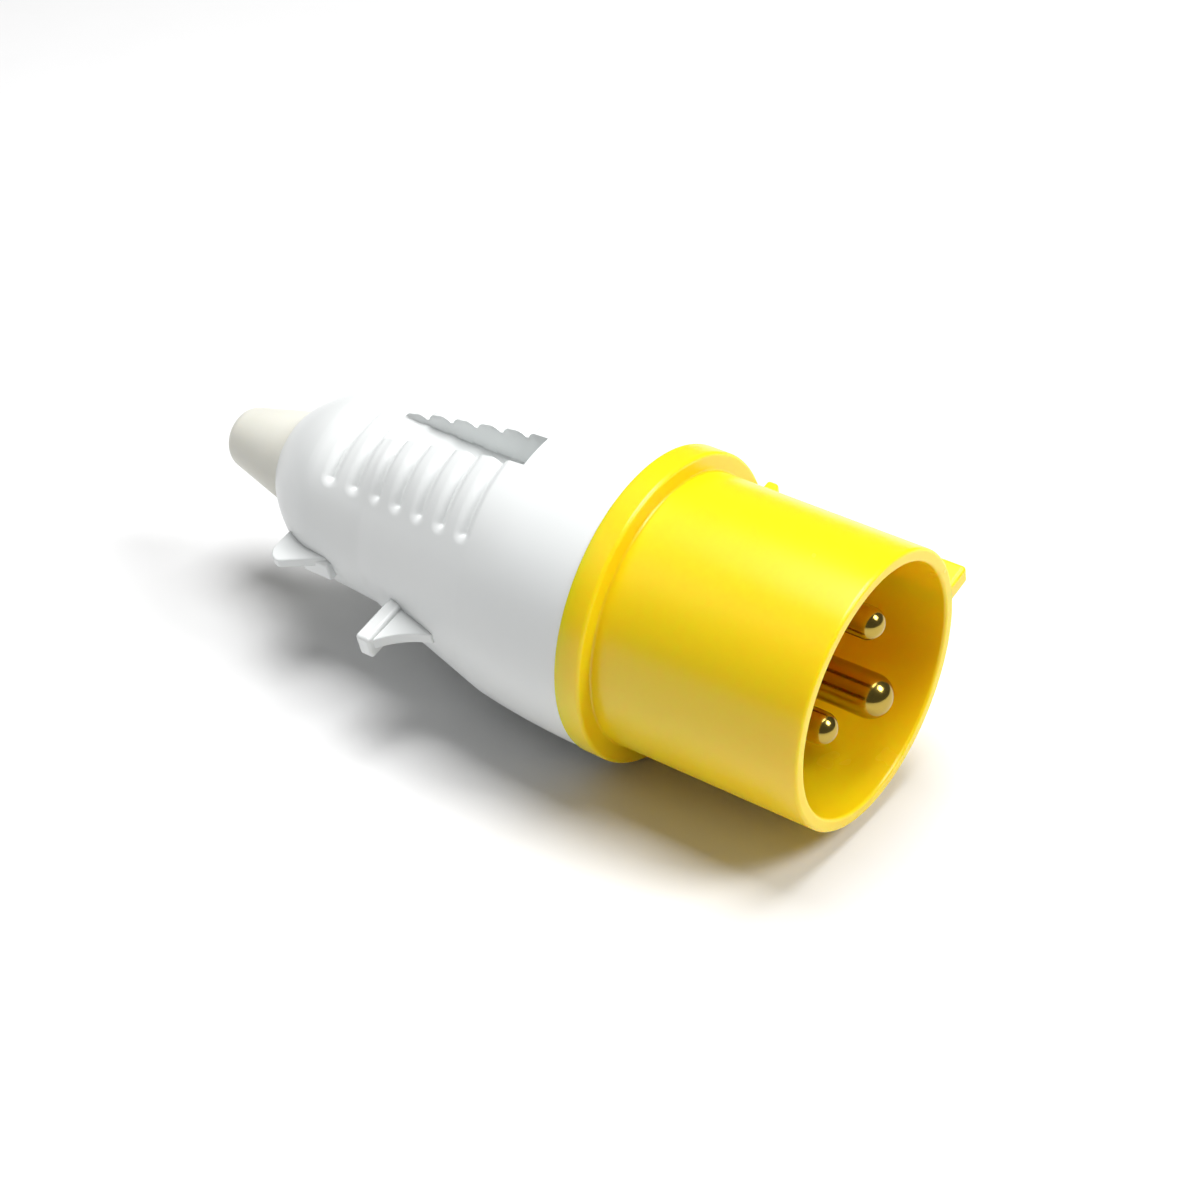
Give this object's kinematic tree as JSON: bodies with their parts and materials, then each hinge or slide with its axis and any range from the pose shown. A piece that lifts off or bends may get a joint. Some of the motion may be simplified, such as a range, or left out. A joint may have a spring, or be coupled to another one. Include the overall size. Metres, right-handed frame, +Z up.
{
  "type": "industrial plug",
  "caption": "Industrial pin-and-sleeve power plug: yellow keyed sleeve round brass pins, tapered white ribbed grip housing, rubber cable nozzle.",
  "frame": {"origin": "centre of the sleeve's mouth, on the plug's axis, in the plane of the rim", "axes": "+X along the plug's axis, the way the pins point and the socket leaves; +Z up as the plug lies on its side"},
  "size_m": [0.1265, 0.0546, 0.0496],
  "materials": {
    "yellow_plastic": "glossy injection moulded, bright yellow",
    "insert_plastic": "satin injection moulded, yellow",
    "white_plastic": "glossy injection moulded, white",
    "cream_rubber": "soft moulded, ivory",
    "seal_rubber": "moulded, black",
    "clamp_plastic": "satin injection moulded, light grey",
    "turned_brass": "turned, bright",
    "plated_steel": "zinc plated"
  },
  "bodies": {
    "root": {"shroud": "yellow_plastic", "contact_carrier": "insert_plastic", "earth_pin": "turned_brass", "line_pin_a": "turned_brass", "line_pin_b": "turned_brass", "pin_retainer": "insert_plastic", "retainer_screw": "plated_steel", "earth_terminal_screw": "plated_steel", "line_terminal_screws": "plated_steel", "assembly_screws": "plated_steel", "body_seal": "seal_rubber", "rear_housing": "white_plastic", "cable_nozzle": "cream_rubber", "cord_clamp": "clamp_plastic", "cord_saddle": "clamp_plastic", "saddle_screws": "plated_steel"}
  },
  "joints": []
}
